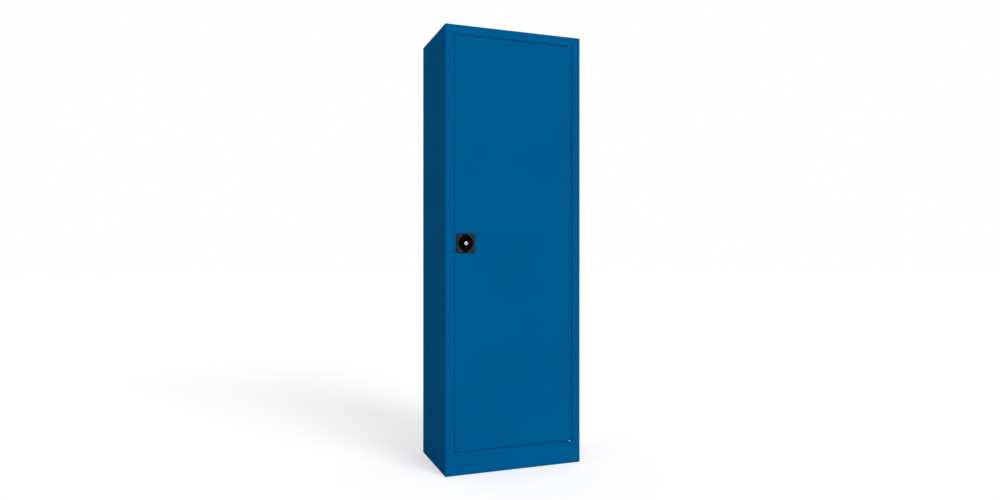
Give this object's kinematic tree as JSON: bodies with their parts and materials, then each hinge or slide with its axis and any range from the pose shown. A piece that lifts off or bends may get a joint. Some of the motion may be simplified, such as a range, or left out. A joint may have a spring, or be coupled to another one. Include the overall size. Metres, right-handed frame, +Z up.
{
  "type": "hinged-door cabinet",
  "caption": "Tall hinged-door steel cabinet on a closed plinth; a turn handle with key lock drives a latch tongue and rods, and shelves rest on slotted rails.",
  "frame": {"origin": "on the floor, under the middle of the overall box, handle included", "axes": "+Z up, front of the cabinet faces -Y, +X to the right as seen from the front"},
  "size_m": [0.64, 0.41, 1.95],
  "materials": {
    "blue_paint": "smooth powder coat",
    "zinc_steel": "bright zinc plate",
    "pale_nylon": "moulded nylon",
    "black_rubber": "matte rubber",
    "grey_plastic": "fine-textured plastic",
    "black_plastic": "smooth black plastic",
    "lock_metal": "satin nickel plate"
  },
  "bodies": {
    "cabinet": {"left_side_panel": "blue_paint", "right_side_panel": "blue_paint", "top_panel": "blue_paint", "upper_stop_angle": "blue_paint", "front_plinth": "blue_paint", "bottom_panel": "blue_paint", "back_panel": "blue_paint", "left_base_angle": "blue_paint", "right_base_angle": "blue_paint", "rear_base_angle": "blue_paint", "left_front_shelf_rail": "blue_paint", "left_rear_shelf_rail": "blue_paint", "right_front_shelf_rail": "blue_paint", "right_rear_shelf_rail": "blue_paint", "shelf_1": "zinc_steel", "shelf_2": "zinc_steel", "shelf_3": "zinc_steel", "shelf_4": "zinc_steel", "shelf_clips": "zinc_steel", "pivot_pins": "zinc_steel", "door_buffers": "black_rubber", "door_glide": "blue_paint"},
    "door": {"door_panel": "blue_paint", "door_stiffener": "blue_paint", "pivot_bushes": "pale_nylon", "pivot_plates": "zinc_steel", "handle_plate": "grey_plastic", "handle_backplate": "zinc_steel", "rod_guides": "pale_nylon"},
    "knob": {"turn_knob": "black_plastic", "lock_barrel": "lock_metal", "spindle": "zinc_steel", "spindle_cam": "zinc_steel", "spacer_sleeve": "zinc_steel", "latch_tongue": "zinc_steel", "spindle_nut": "zinc_steel"},
    "key_plug": {"lock_plug": "lock_metal"},
    "upper_bolt": {"upper_rod": "zinc_steel"},
    "lower_bolt": {"lower_rod": "zinc_steel"}
  },
  "joints": [
    {"name": "door_hinge", "type": "hinge", "parent": "cabinet", "child": "door", "pos_m": [0.2695, -0.189, 1.005], "axis": [0, 0, 1], "range_deg": [0, 110]},
    {"name": "knob_turn", "type": "hinge", "parent": "door", "child": "knob", "pos_m": [-0.23, -0.19, 1.005], "axis": [0, -1, 0], "range_deg": [0, 90]},
    {"name": "key_turn", "type": "hinge", "parent": "knob", "child": "key_plug", "pos_m": [-0.23, -0.201, 1.005], "axis": [0, -1, 0], "range_deg": [0, 90]},
    {"name": "upper_rod_slide", "type": "slide", "parent": "door", "child": "upper_bolt", "axis": [0, 0, 1], "range_m": [0, 0.02828]},
    {"name": "lower_rod_slide", "type": "slide", "parent": "door", "child": "lower_bolt", "axis": [0, 0, -1], "range_m": [0, 0.02828]}
  ],
  "couplings": [
    {"joint": "knob_turn", "follows": "upper_rod_slide", "rad_per_m": 55.536},
    {"joint": "lower_rod_slide", "follows": "upper_rod_slide", "ratio": 1}
  ]
}
